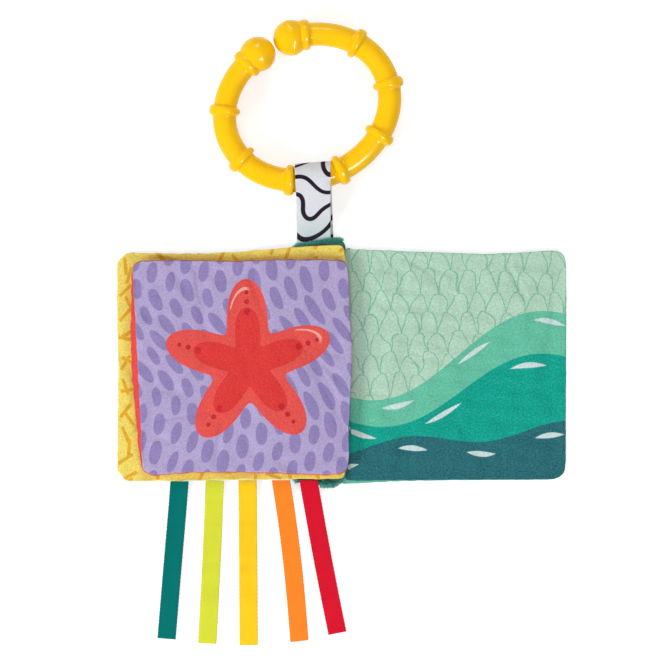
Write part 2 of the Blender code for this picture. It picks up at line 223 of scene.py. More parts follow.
def new_finish(name, roughness, **more):
    """A material with one shader: its tree and shader are handed back with it."""
    finish = bpy.data.materials.new(name)
    finish.use_nodes = True
    shader = finish.node_tree.nodes["Principled BSDF"]
    shader.inputs["Roughness"].default_value = roughness
    for key, value in more.items():
        shader.inputs[key.replace("_", " ").title().replace("Ior", "IOR")].default_value = value
    return finish, finish.node_tree, shader


def colour_socket(tree, value, slot):
    """Puts a colour, given as 0-255 numbers or as a socket, on a slot."""
    if isinstance(value, bpy.types.NodeSocket):
        tree.links.new(value, slot)
    else:
        slot.default_value = linear(value)


def mixed(tree, share, base, top):
    """The top colour over the base colour by a share that a Field gives.

    The Mix node's colour sockets are its inputs 6 and 7 and its output 2.
    """
    mix = tree.nodes.new("ShaderNodeMix")
    mix.data_type = "RGBA"
    tree.links.new(share.socket, mix.inputs[0])
    colour_socket(tree, base, mix.inputs[6])
    colour_socket(tree, top, mix.inputs[7])
    return mix.outputs[2]


def glossy_plastic(name, face_colour, shaded_edge_colour):
    """Smooth plastic with painted shade: its colour deepens to a darker orange where the surface turns away
    from the eye, standing in for the shade at the tube's edges.
    """
    finish, tree, shader = new_finish(name, 0.20, specular_ior_level=0.16)
    facing = tree.nodes.new("ShaderNodeLayerWeight")
    facing.inputs["Blend"].default_value = 0.30
    edge = Field(tree, facing.outputs["Facing"]).power(2.2)
    # painted shade: the face colour turns to the darker edge colour at grazing angles
    tree.links.new(mixed(tree, edge, face_colour, shaded_edge_colour), shader.inputs["Base Color"])
    return finish


# the second colour is painted shade for the ring's edges, not a colour of the plastic
ring_finish = glossy_plastic("ring_plastic", (250, 194, 0), (247, 183, 0))
ring = round_body("clip_ring", seated(ring_grid(), "ring"), ring_finish)
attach(ring, "ring")
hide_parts("ring")


# Strap
# A woven tape, printed with black wavy lines on white, folded over the ring's tube.
# Its two ends lie on each other and are sewn into the spine's top end.

strap_wall = 0.0007
strap_half_width, strap_flare = 0.0091, 0.0006
strap_root_x, strap_root_y, strap_root_z = -0.0150, 0.05155, 0.00085
strap_seat_y, strap_seat_z = 0.08355, 0.00854
strap_loop_radius = 0.00815
strap_lean, strap_fold_shift, strap_under_shift = 0.0007, -0.0007, 0.0015
strap_foot_reach = 0.0008
strap_rows, strap_columns = 420, 41
spine_top_drop, spine_drop_start_x, spine_drop_width = 0.0030, -0.008, 0.016


def band(centre, across, normal, shares, half_width, half_wall):
    """Points of a flat band: its upper side from left to right, then its lower side from right to left.

    A row is centre + across * half_width * share +- normal * half_wall, with the wall thinned at both edges.
    """
    rim = (1 - np.abs(shares) ** 12) ** 0.5 * 0.8 + 0.2
    aside = across[:, None] * (half_width[:, None] * shares)[..., None]
    rise = normal[:, None] * (half_wall[:, None] * rim)[..., None]
    middle = centre[:, None] + aside
    return np.concatenate((middle + rise, (middle - rise)[:, ::-1]), axis=1)


def band_places(run, shares, half_width):
    """Flat (u, v) of a band's points in centimetres: across from its middle line, and along it."""
    u = half_width[:, None] * np.concatenate((shares, shares[::-1]))
    v = np.repeat(run[:, None], u.shape[1], axis=1)
    return np.stack((u, v), axis=-1) * 100


def strap_path(count):
    """A taut tape round two circles in the Y-Z plane: arcs on both circles, straight legs between them."""
    far_steps, near_steps = 400, 40
    reach = np.array((strap_seat_y - strap_root_y, strap_seat_z - strap_root_z))
    distance, heading = np.linalg.norm(reach), math.atan2(reach[1], reach[0])
    near_radius = strap_root_z - strap_wall / 2
    lean = math.acos((strap_loop_radius - near_radius) / distance)
    far_turns = np.linspace(-(math.pi - lean), math.pi - lean, far_steps)
    near_turns = np.linspace(math.pi - lean, math.pi + lean, near_steps)
    turns = heading + np.concatenate((far_turns, near_turns))
    far = np.arange(far_steps + near_steps)[:, None] < far_steps
    middle = np.where(far, (strap_seat_y, strap_seat_z), (strap_root_y, strap_root_z))
    radius = np.where(far, strap_loop_radius, near_radius)
    path = middle + radius * np.column_stack((np.cos(turns), np.sin(turns)))
    closed = np.vstack((path, path[:1]))
    run = np.concatenate(([0], np.cumsum(np.linalg.norm(np.diff(closed, axis=0), axis=1))))
    places = np.linspace(0, run[-1], count, endpoint=False)
    return np.stack([np.interp(places, run, closed[:, k]) for k in range(2)], axis=-1), places


def top_end_drop(x):
    """How far the spine's top end lies below its highest point: none at the right, most at the left."""
    return spine_top_drop * np.clip((spine_drop_start_x - x) / spine_drop_width, 0, 1)


def strap_grid():
    """The tape's path carried across its width.

    It widens towards the fold as the square of the way there, leans with the tube, most at its right edge,
    and its lower leg lies up to 1.5 mm to the right of the upper one. Its foot follows the spine's top end.
    """
    foot_share = 0.3
    path, run = strap_path(strap_rows)
    step = np.roll(path, -1, axis=0) - np.roll(path, 1, axis=0)
    step /= np.linalg.norm(step, axis=1, keepdims=True)
    normal = np.column_stack((np.zeros(len(path)), step[:, 1], -step[:, 0]))
    along = np.clip((path[:, 0] - strap_root_y) / (strap_seat_y + strap_loop_radius - strap_root_y), 0, 1)
    half_width = strap_half_width + strap_flare * along**2
    under = np.clip(-normal[:, 2], 0, 1) * (1 - along)
    centre = np.column_stack((strap_root_x + strap_fold_shift * along**2 + strap_under_shift * under, path))
    shares = np.sin(np.linspace(-1, 1, strap_columns) * math.pi / 2)
    across = np.tile((1.0, 0.0, 0.0), (len(path), 1))
    grid = band(centre, across, normal, shares, half_width, np.full(len(path), strap_wall / 2))
    both = np.concatenate((shares, shares[::-1]))
    grid[..., 1] += strap_lean * (both + 0.75 * np.clip(both, 0, 1) ** 6) * along[:, None] ** 2
    foot = top_end_drop(grid[..., 0]) + strap_foot_reach
    grid[..., 1] -= foot * (1 - np.clip(along / foot_share, 0, 1))[:, None] ** 2
    return grid[:, ::-1], band_places(run, shares, half_width)[:, ::-1]


def flat_field(tree):
    """The (x, y) of a piece's flat cloth in centimetres, from its UV map."""
    place = tree.nodes.new("ShaderNodeUVMap")
    place.uv_map = "UVMap"
    split = tree.nodes.new("ShaderNodeSeparateXYZ")
    tree.links.new(place.outputs[0], split.inputs[0])
    return Field(tree, split.outputs[0]), Field(tree, split.outputs[1])


def joined(x, y):
    """A vector socket from two Fields."""
    both = x.tree.nodes.new("ShaderNodeCombineXYZ")
    x.tree.links.new(x.socket, both.inputs[0])
    x.tree.links.new(y.socket, both.inputs[1])
    return both.outputs[0]


def noise(x, y, scale, detail=2.0):
    """Smooth noise from 0 to 1; scale is in waves per centimetre."""
    cloud = x.tree.nodes.new("ShaderNodeTexNoise")
    cloud.inputs["Scale"].default_value = scale
    cloud.inputs["Detail"].default_value = detail
    x.tree.links.new(joined(x, y), cloud.inputs["Vector"])
    return Field(x.tree, cloud.outputs[0])


def bumped(tree, shader, height, depth):
    """Fine relief on a shader; depth is the height of the relief in metres for a field from 0 to 1."""
    bump = tree.nodes.new("ShaderNodeBump")
    bump.inputs["Distance"].default_value = depth
    bump.inputs["Strength"].default_value = 1.0
    tree.links.new(height.socket, bump.inputs["Height"])
    tree.links.new(bump.outputs[0], shader.inputs["Normal"])


def cloth(name, paint, grain=0.00025, thread=26.0, mottle=0.13, fleck=0.05):
    """Printed woven cloth, whose colour paint(tree, x, y) gives.

    The colour is multiplied by 1 + slubs + fading + weave, as shares of the mottle, and flecks are added.
    The weave is the product of two sines with thread waves per centimetre, and grain is its relief in metres.
    """
    finish, tree, shader = new_finish(name, 0.85, sheen_weight=0.06, sheen_roughness=0.4,
                                      specular_ior_level=0.05)
    slub_scale, fade_scale = 10.5, 1.1
    x, y = flat_field(tree)
    weave = (x * (thread * 2 * math.pi)).sine() * (y * (thread * 2 * math.pi)).sine()
    slub = noise((x + y) * 0.5, (y - x) * 0.9, slub_scale, 3.0)
    fade = noise(x, y, fade_scale, 3.0)
    shade = (slub - 0.5) * (mottle * 6.0) + (fade - 0.5) * mottle + weave * (mottle * 0.25) + 1.0
    level = tree.nodes.new("ShaderNodeVectorMath")
    level.operation = "MULTIPLY_ADD"
    colour = paint(tree, x, y)
    if isinstance(colour, bpy.types.NodeSocket):
        tree.links.new(colour, level.inputs[0])
    else:
        level.inputs[0].default_value = linear(colour)[:3]
    tree.links.new(shade.socket, level.inputs[1])
    tree.links.new(((noise(x + 3.0, y, slub_scale, 2.0) - 0.5) * fleck).socket, level.inputs[2])
    tree.links.new(level.outputs[0], shader.inputs["Base Color"])
    bumped(tree, shader, weave * 0.25 + slub, grain)
    return finish


def plain(colour):
    """The paint of an unprinted cloth: the same colour everywhere."""
    return lambda tree, x, y: colour


def strap_print_and_shade(tree, x, y):
    """Black contour lines of y + 0.5 sin a + 0.3 sin b, kept about 2 mm wide by the field's slope.

    The slope is worked out from the cosines of a and b. Near the plush the white is painted darker and
    greener: painted shade with painted green light reflected from the plush.
    """
    white, plush_shade_and_bounce, black = (228, 230, 236), (192, 212, 209), (40, 32, 45)
    line_pitch, line_half, line_soft = 1.25, 0.108, 0.02
    a, b = x * 1.9 + y * 0.9 + 0.4, x * 1.2 - y * 1.9 + 2.4
    level = (y + a.sine() * 0.5 + b.sine() * 0.3 + 0.15) / line_pitch
    cos_a, cos_b = (a + math.pi / 2).sine(), (b + math.pi / 2).sine()
    rise_x = cos_a * 0.95 + cos_b * 0.36
    rise_y = cos_a * 0.45 - cos_b * 0.57 + 1.0
    steep = (rise_x * rise_x + rise_y * rise_y + 0.10).made("SQRT")
    ink = (abs(level.made("FRACT") - 0.5) * line_pitch / steep).below(line_half, line_soft)
    # painted shade and painted green reflection: the white darkens to a grey-green within about 1.6 cm of the
    # foot by the plush
    foot_y, foot_half, foot_soft = 6.2, 0.8, 1.6
    shaded_ground = mixed(tree, abs(y - foot_y).below(foot_half, foot_soft), white, plush_shade_and_bounce)
    return mixed(tree, ink, shaded_ground, black)


grid, flat = strap_grid()
strap = make_mesh("strap", grid.reshape(-1, 3), grid_faces(*grid.shape[:2], round_rows=True).tolist(),
                  cloth("strap_cloth", strap_print_and_shade, mottle=0.03, fleck=0.01), flat.reshape(-1, 2))
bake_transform(strap)
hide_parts("strap_loop")
flat[..., 1].max() / 100


# Leaves
# Front cover, middle page and back cover: each is two cloth panels sewn round the edge, with thin wadding and
# crackling film inside, so that it is a flat cushion with a puckered seam.

leaf_columns, panel_rows, seam_rows = 560, 90, 12
cover_seam_z, cover_rise, cover_thickness = 0.0022, 0.00205, 0.0044
page_seam_z, page_rise = 0.0067, 0.00185
rim_rise, rim_radius, seam_half_gap = 0.0009, 0.0011, 0.00015
crease_count, crease_depth = 26, 0.0010
fold_inset, pucker_inset = 0.008, 0.005
printed_form, plain_cover_form, plain_page_form = (0.30, 5.0), (0.88, 2.0), (0.55, 3.0)
slope_start_x, slope_length, spine_step, page_step = -0.05935, 0.024, 0.0021, 0.00105
bound_x, bound_bell, bound_dip_share = 0.0025, 0.009, 0.72


def soft_outline(corners, rounding, ripple, seed):
    """Closed outline through the given points in millimetres, evenly spaced, rounded, with a rippled seam.

    The rounding is a bell-shaped average along the outline. The ripple is a sum of nine sines, each with 22
    to 74 whole waves round the outline, and a third of that sum is handed back as the seam's pucker.
    """
    wave_count, fewest_waves, most_waves = 9, 22, 75
    corners = np.array(corners + corners[:1]) / 1000
    run = np.concatenate(([0], np.cumsum(np.linalg.norm(np.diff(corners, axis=0), axis=1))))
    places = np.linspace(0, run[-1], leaf_columns, endpoint=False)
    points = np.stack([np.interp(places, run, corners[:, k]) for k in range(2)], axis=-1)
    waves = np.fft.fftfreq(leaf_columns, run[-1] / leaf_columns)[:, None]
    bell = np.exp(-2 * (math.pi * waves * rounding) ** 2)
    points = np.fft.ifft(np.fft.fft(points, axis=0) * bell, axis=0).real
    step = np.roll(points, -1, axis=0) - np.roll(points, 1, axis=0)
    step /= np.linalg.norm(step, axis=1, keepdims=True)
    outward = np.stack((step[:, 1], -step[:, 0]), axis=-1)
    random = np.random.default_rng(seed)
    counts = random.integers(fewest_waves, most_waves, wave_count)
    phases = random.uniform(0, 2 * math.pi, wave_count)
    turn = 2 * math.pi * places / run[-1]
    pucker = np.sin(turn[:, None] * counts + phases).sum(axis=1) / 3
    return points + outward * (ripple * pucker)[:, None], pucker


def dome(share, flat_share, power):
    """Fullness of a stuffed side: none at the seam, rising steeply, then full from flat_share inwards.

    It is sqrt(1 - inset^power), where the inset runs from 0 at the flat share to 1 at the seam.
    """
    inset = np.clip((share - flat_share) / (1 - flat_share), 0, 1)
    return np.sqrt(1 - inset**power)


def undulation(x, y, seed):
    """Soft folds from 0 to 1: a sum of sine waves in random directions, 16 to 60 mm and 8 to 18 mm long."""
    waves_each, full_height = 9, 12
    random = np.random.default_rng(seed)
    total = np.zeros_like(x)
    for shortest, longest, share in ((0.016, 0.060, 1.0), (0.008, 0.018, 1.1)):
        for length in random.uniform(shortest, longest, waves_each):
            heading, phase = random.uniform(0, 2 * math.pi, 2)
            distance = x * math.cos(heading) + y * math.sin(heading)
            total += share * np.sin(distance * 2 * math.pi / length + phase)
    return np.clip(0.5 + total / full_height, 0, 1)


def creases(x, y, outline, middle, seed):
    """Narrow creases that run in from the seam at a slant, from 0 to 1.

    Each is exp(-(aside / width)^2) * sin(pi * along / length), in its own direction and size.
    """
    random = np.random.default_rng(seed)
    total = np.zeros_like(x)
    for start in outline[random.integers(0, leaf_columns, crease_count)]:
        heading = math.atan2(*(middle - start)[::-1]) + random.uniform(-0.9, 0.9)
        length, width = random.uniform(0.015, 0.055), random.uniform(0.0014, 0.0036)
        along = (x - start[0]) * math.cos(heading) + (y - start[1]) * math.sin(heading)
        aside = (y - start[1]) * math.cos(heading) - (x - start[0]) * math.sin(heading)
        total += np.exp(-(aside / width) ** 2) * np.sin(math.pi * np.clip(along / length, 0, 1))
    return np.clip(total, 0, 1)


def simulated_folds(seed):
    """Heights of a sewn-in cloth from 0 to 1, on a grid of 79 by 79 points, by a Cloth simulation.

    A square panel is held at its seam, is 2% too large for it and is lightly blown up, so that it buckles
    into folds and puckers.
    """
    cells, frames, half = 78, 36, 6.0
    line = np.linspace(-half, half, cells + 1)
    x, y = np.meshgrid(line, line)
    ruffle = np.random.default_rng(seed).normal(0, 0.004, x.shape)
    ruffle = (ruffle + np.roll(ruffle, 1, 0) + np.roll(ruffle, 1, 1) + np.roll(ruffle, -1, 0)) / 2
    seam = np.maximum(np.abs(x), np.abs(y)) > half * (1 - 0.5 / cells)
    points = np.stack((x, y, np.where(seam, 0, ruffle)), axis=-1).reshape(-1, 3)
    index = np.arange((cells + 1) ** 2).reshape(cells + 1, cells + 1)
    quads = np.stack((index[:-1, :-1], index[:-1, 1:], index[1:, 1:], index[1:, :-1]), axis=-1).reshape(-1, 4)
    mesh = bpy.data.meshes.new("cloth_trial")
    mesh.from_pydata(points.tolist(), [], quads.tolist())
    trial = bpy.data.objects.new("cloth_trial", mesh)
    bpy.context.scene.collection.objects.link(trial)
    trial.vertex_groups.new(name="seam").add(np.flatnonzero(seam.ravel()).tolist(), 1.0, "REPLACE")
    cloth_solver = trial.modifiers.new("cloth", "CLOTH")
    settings = cloth_solver.settings
    settings.quality, settings.mass, settings.air_damping = 6, 0.3, 2
    settings.tension_stiffness = settings.compression_stiffness = 40
    settings.shear_stiffness, settings.bending_stiffness = 20, 10
    settings.vertex_group_mass, settings.shrink_min = "seam", -0.02
    settings.use_pressure, settings.uniform_pressure_force = True, 1.0
    settings.effector_weights.gravity = 0
    cloth_solver.collision_settings.use_collision = False
    cloth_solver.point_cache.frame_end = frames
    scene = bpy.context.scene
    for number in range(1, frames + 1):
        scene.frame_set(number)
    solved = trial.evaluated_get(bpy.context.evaluated_depsgraph_get()).data
    places = np.empty(len(solved.vertices) * 3, np.float32)
    solved.vertices.foreach_get("co", places)
    scene.frame_set(1)
    bpy.data.objects.remove(trial)
    heights = places.reshape(cells + 1, cells + 1, 3)[..., 2].astype(float)
    low, high = np.percentile(heights, (1, 99))
    return np.clip((heights - low) / (high - low), 0, 1)


def sampled(heights, x, y):
    """The heights' grid stretched over the box of x and y, and read between its points (bilinear)."""
    size = len(heights) - 1
    column = (x - x.min()) / (x.max() - x.min()) * size
    row = (y - y.min()) / (y.max() - y.min()) * size
    i, j = np.clip(row.astype(int), 0, size - 1), np.clip(column.astype(int), 0, size - 1)
    u, v = row - i, column - j
    return ((heights[i, j] * (1 - v) + heights[i, j + 1] * v) * (1 - u)
            + (heights[i + 1, j] * (1 - v) + heights[i + 1, j + 1] * v) * u)


def leaf_panel(outline, pucker, seam_z, rise, form, fold, tuck, lift, seed):
    """One panel as a closed body between the seam's plane and its own domed side.

    It goes upwards for a positive rise and downwards for a negative one. The domed side is rise * dome, less
    folds and creases that grow inwards and puckers that fade away from the seam as exp(-inset / 5 mm). The
    lift then bends the whole panel over the spine band.
    """
    middle = outline.mean(axis=0)
    sign = math.copysign(1, rise)
    shares = 1 - np.linspace(0, 1, panel_rows) ** 1.7 * 0.995
    flat = middle + (outline - middle) * shares[:, None, None]
    x, y = flat[..., 0], flat[..., 1]
    inset = (1 - shares[:, None]) * np.linalg.norm(outline - middle, axis=1)
    edge = np.clip(inset / rim_radius, 0, 1)
    full = rim_rise + (abs(rise) - rim_rise) * dome(shares[:, None], *form)
    height = full * np.sqrt(1 - (1 - edge) ** 2)
    if fold:
        relief = 0.5 * sampled(simulated_folds(seed), x, y) + 0.5 * undulation(x, y, seed)
    else:
        relief = undulation(x, y, seed)
    height = height - fold * (1 - relief) * np.clip(inset / fold_inset, 0, 1)
    if fold:
        height = height - crease_depth * creases(x, y, outline, middle, seed) * edge
    height = height - tuck * (0.5 + 0.5 * np.tanh(pucker)) * np.exp(-inset / pucker_inset) * edge
    domed = np.stack((x, y, seam_z + sign * (seam_half_gap + np.maximum(height, 0.00002))), axis=-1)
    inner_flat = middle + (outline - middle) * np.linspace(1, 0.01, seam_rows)[:, None, None]
    inner_z = np.full((seam_rows, leaf_columns, 1), seam_z + sign * seam_half_gap)
    inner = np.concatenate((inner_flat, inner_z), axis=-1)
    grid = np.concatenate((inner[::-1], domed[1:])) if sign > 0 else np.concatenate((domed[:0:-1], inner))
    grid[..., 2] = lift(grid[..., 0], grid[..., 2])
    return grid


def slope(x):
    """0 on the flat part of the leaves, rising as 3 t^2 - 2 t^3 to 1 before the spine band begins."""
    t = np.clip((x - slope_start_x) / slope_length, 0, 1)
    return t * t * (3 - 2 * t)


def front_lift(x, z):
    """The front cover climbs onto the spine band: its underside by the whole step, its top by half of it."""
    return z + spine_step * slope(x) * (1 - 0.5 * z / cover_thickness)


def page_lift(x, z):
    """The page climbs with the front cover's top."""
    return z + page_step * slope(x)


def no_lift(x, z):
    """The back cover's outside lies flat on the table."""
    return z


def back_dip(x, z):
    """The back cover's face sinks towards its bound edge: a bell 9 mm wide cuts its height over the seam."""
    sunk = 1 - bound_dip_share * np.exp(-((x - bound_x) / bound_bell) ** 2)
    return np.where(z > cover_seam_z, cover_seam_z + (z - cover_seam_z) * sunk, z)


def make_panel(name, grid, finish, nodes, bound=False):
    """The panel as a padded piece, with its flat (u, v) taken from x and y in centimetres.

    Where the bound edge of a cover stretches over the spine as the book closes, its last 5 mm count sixfold.
    """
    bound_width, bound_stretch = 0.5, 5
    flat = grid[..., :2] * 100
    if bound:
        flat[..., 0] -= bound_stretch * np.clip(bound_width - flat[..., 0], 0, None)
    piece = round_body(name, grid, finish, flat)
    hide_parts(*nodes)
    return piece


# Front cover
# Pale yellow face with short gold dashes and teal plush outside, sewn together and to the spine band.

front_corners = [(-121.2, -74.5), (-116.5, -80.1), (-85, -79.9), (-56.5, -79.4), (-20, -78.9), (-0.4, -78.8),
                 (1.2, -78.0), (1.8, -75.6), (2.1, -60), (2.1, -10), (2.1, 38), (1.7, 45.5), (-0.5, 47.6),
                 (-10, 47.4), (-23.5, 46.6), (-40, 45.3), (-56.1, 43.9), (-70, 43.3), (-84, 43.0),
                 (-100, 43.2), (-116.5, 43.4), (-121.4, 38.4), (-121.3, 10), (-120.7, -17), (-121.0, -45)]
front_edge, front_pucker = soft_outline(front_corners, rounding=0.0011, ripple=0.00012, seed=3)


def dash_print(tree, x, y):
    """Gold dashes on pale yellow, in two half-drop layouts, each turned by a random angle of its cell."""
    pale_yellow, gold = (242, 218, 106), (228, 176, 50)
    dash_half_width, dash_half_length = 0.09, 0.46
    painted = pale_yellow
    for wide, high, start in ((1.75, 1.30, 0.3), (1.95, 1.55, 0.75)):
        column = ((x + start) / wide).made("FLOOR")
        shifted = y + (column * 0.5).made("FRACT") * high + start
        row = (shifted / high).made("FLOOR")
        cell = tree.nodes.new("ShaderNodeTexWhiteNoise")
        tree.links.new(joined(column, row), cell.inputs["Vector"])
        angle = Field(tree, cell.outputs["Value"]) * 3.1
        u = x + start - (column + 0.5) * wide
        v = shifted - (row + 0.5) * high
        cosine, sine = (angle + math.pi / 2).sine(), angle.sine()
        along, aside = u * cosine + v * sine, v * cosine - u * sine
        stroke = abs(aside).below(dash_half_width, 0.03) * abs(along).below(dash_half_length, 0.05)
        painted = mixed(tree, stroke, painted, gold)
    return painted


front_inside = make_panel(
    "front_cover_inside",
    leaf_panel(front_edge, front_pucker, cover_seam_z, cover_rise, printed_form,
               fold=0.0009, tuck=0.0006, lift=front_lift, seed=11),
    cloth("yellow_cloth", dash_print),
    ("front_cover_face", "front_cover_film"))
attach(front_inside, "front_cover")
front_outside = make_panel(
    "front_cover_outside",
    leaf_panel(front_edge, front_pucker, cover_seam_z, -cover_rise, plain_cover_form,
               fold=0, tuck=0.0004, lift=front_lift, seed=12),
    cloth("teal_plush", plain((0, 106, 96)), grain=0.0004, thread=9.0, mottle=0.12),
    ("front_cover_outer", "front_cover_wadding"))
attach(front_outside, "front_cover")


# Middle page
# Lavender face with pebbles and a coral star, and a plain coral back that is a little wider, so that its rim
# shows at the left. Both are held in the spine's seam.

page_corners = [(-107.3, -73.6), (-103.5, -76.2), (-99.8, -76.6), (-90, -75.6), (-81.9, -75.0), (-56.1, -74.8),
                (-33.3, -75.4), (-20, -75.9), (-9.5, -76.3), (-0.9, -75.6), (2.5, -74.2), (3.6, -71.8),
                (4.0, -63.1), (3.7, -52.4), (4.5, -41.6), (4.8, -30.8), (5.6, -20), (5.6, -9.2), (5.1, 1.6),
                (4.3, 12.4), (4.0, 23.2), (3.7, 31.3), (2.9, 37.3), (0.8, 38.9), (-9.0, 39.5), (-33.3, 39.5),
                (-57.6, 38.6), (-81.9, 39.1), (-103.5, 39.1), (-108.3, 38.7), (-112.3, 36.4), (-112.8, 34.1),
                (-111.4, 9.2), (-109.8, -22.6), (-108.2, -52.4), (-107.9, -65.3)]
low_overhang, top_overhang = 0.45, 0.3
page_back_corners = [(x, y - low_overhang if y < -70 else y + top_overhang if y > 35 else y)
                     for x, y in page_corners[:-5]]
page_back_corners += [(-112.6, 36.2), (-113.5, 31.3), (-113.4, 17.8), (-113.8, 7), (-113.6, -9.2),
                      (-113.1, -22.6), (-112.3, -31.8), (-111.3, -41.6), (-110.4, -52.4), (-109.4, -63.1),
                      (-108.2, -71.0)]
page_edge, page_pucker = soft_outline(page_corners, rounding=0.0010, ripple=0.00014, seed=5)
page_back_edge, page_back_pucker = soft_outline(page_back_corners, rounding=0.0010, ripple=0.00020, seed=5)


def distance_to(x, y, place):
    """How far a point lies from a place, in centimetres."""
    return ((x - place[0]).power(2.0) + (y - place[1]).power(2.0)).made("SQRT")


def star(x, y, middle, turn, size, depth):
    """How far a point lies outside a five-armed star, in centimetres: r / (1 + depth cos 5a) - size."""
    u, v = x - middle[0], y - middle[1]
    radius = (u * u + v * v).made("SQRT")
    angle = v.made("ARCTAN2", u) - turn
    lobe = (angle * 5.0 + math.pi / 2).sine() * depth + 1.0
    return radius / lobe - size


def page_print(tree, x, y):
    """Darker pebbles on lavender, and a plain two-tone coral star with round dots and pale strokes.

    The pebbles are rounded ovals in half-drop cells, bent by slow sines and sized by each cell's own chance.
    The star is painted twice, the inner one darker, with three dots on each arm and a pale stroke on two.
    """
    lavender, lilac = (180, 167, 208), (147, 134, 187)
    light_coral, coral, dark_coral, pale_coral = (231, 86, 80), (224, 62, 60), (203, 44, 56), (244, 170, 158)
    cell_width, cell_height, pebble_half_width, pebble_half_length = 0.93, 1.50, 0.34, 0.64
    middle, star_turn, soft = (-5.0, -1.7), 0.35, 0.03
    u = x + (y * 0.55 + 0.4).sine() * 0.75 + y * 0.25
    v = y + (x * 0.50 + 1.1).sine() * 0.65
    column = (u / cell_width).made("FLOOR")
    shifted = v + (column * 0.5).made("FRACT") * cell_height
    row = (shifted / cell_height).made("FLOOR")
    cell = tree.nodes.new("ShaderNodeTexWhiteNoise")
    tree.links.new(joined(column, row), cell.inputs["Vector"])
    chance = Field(tree, cell.outputs["Value"])
    across = u - (column + 0.5) * cell_width + (chance - 0.5) * 0.12
    along = shifted - (row + 0.5) * cell_height + across * (chance - 0.5) * 1.1
    size = chance * 0.26 + 0.78
    wide = (abs(across) / pebble_half_width / size).power(2.2)
    long = (abs(along) / pebble_half_length / size).power(2.2)
    figure = mixed(tree, (wide + long).below(1.0, 0.16), lavender, lilac)
    outer = star(x, y, middle, star_turn, size=3.35, depth=0.38).below(0, soft)
    figure = mixed(tree, outer, figure, light_coral)
    inner = star(x, y, middle, star_turn, size=2.15, depth=0.44).below(0, soft)
    figure = mixed(tree, inner, figure, coral)
    rim = abs(star(x, y, middle, star_turn, size=2.98, depth=0.38)).below(0.06, soft)
    for place in ((-1.75, 0.0), (-5.65, 1.95)):
        figure = mixed(tree, rim * distance_to(x, y, place).below(0.75, 0.2), figure, pale_coral)
    for arm in range(5):
        turn = star_turn + arm * 2 * math.pi / 5
        for reach, dot_radius in ((3.9, 0.11), (3.4, 0.14), (2.85, 0.17)):
            place = (middle[0] + reach * math.cos(turn), middle[1] + reach * math.sin(turn))
            figure = mixed(tree, distance_to(x, y, place).below(dot_radius, soft), figure, dark_coral)
    return figure


page_front = make_panel(
    "page_front",
    leaf_panel(page_edge, page_pucker, page_seam_z, page_rise, printed_form,
               fold=0.0013, tuck=0.0006, lift=page_lift, seed=21),
    cloth("lavender_cloth", page_print),
    ("page_face", "page_film"))
page_reverse = make_panel(
    "page_reverse",
    leaf_panel(page_back_edge, page_back_pucker, page_seam_z, -page_rise, plain_page_form,
               fold=0, tuck=0.0003, lift=page_lift, seed=22),
    cloth("coral_cloth", plain((240, 82, 78))),
    ("page_back", "page_wadding"))
for piece in (page_front, page_reverse):
    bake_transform(piece)


# Back cover
# Pale mint face with scales above layered swells, and a plain mint outside whose rim shows at the bottom. It
# meets the front cover at the spine's seam and lies flat on the table.

back_corners = [(2.5, -76.4), (1.7, -78.6), (2.8, -79.7), (8, -79.9), (31, -79.5), (58.8, -79.3),
                (105.4, -79.3), (114, -79.1), (118.2, -77.8), (120.6, -75), (121.2, -69.6), (121.3, -36.2),
                (121.5, 17.8), (121.3, 38), (120.6, 41.6), (118.4, 43.9), (113.6, 44.7), (95, 43.4),
                (77.4, 42.7), (58, 43.4), (40.2, 44.0), (20, 44.8), (5.8, 45.3), (3.2, 46.4), (1.7, 45.2),
                (1.6, 38), (1.9, 20), (2.1, -40)]
back_outer_corners = [(2.5, -76.4), (-1.0, -79.7), (-1.3, -80.6), (1.0, -81.6), (14, -81.0), (31, -80.1),
                      (58.8, -79.6)] + back_corners[6:]
back_edge, back_pucker = soft_outline(back_corners, rounding=0.0010, ripple=0.00009, seed=7)
back_outer_edge, back_outer_pucker = soft_outline(back_outer_corners, rounding=0.0008, ripple=0.00009, seed=7)


def above_swell(x, y, waves, start, height, slant, level):
    """How far a point lies above a swell, in cm: y + level + height sin(waves x + start) - slant x."""
    return y + level + (x * waves + start).sine() * height - x * slant


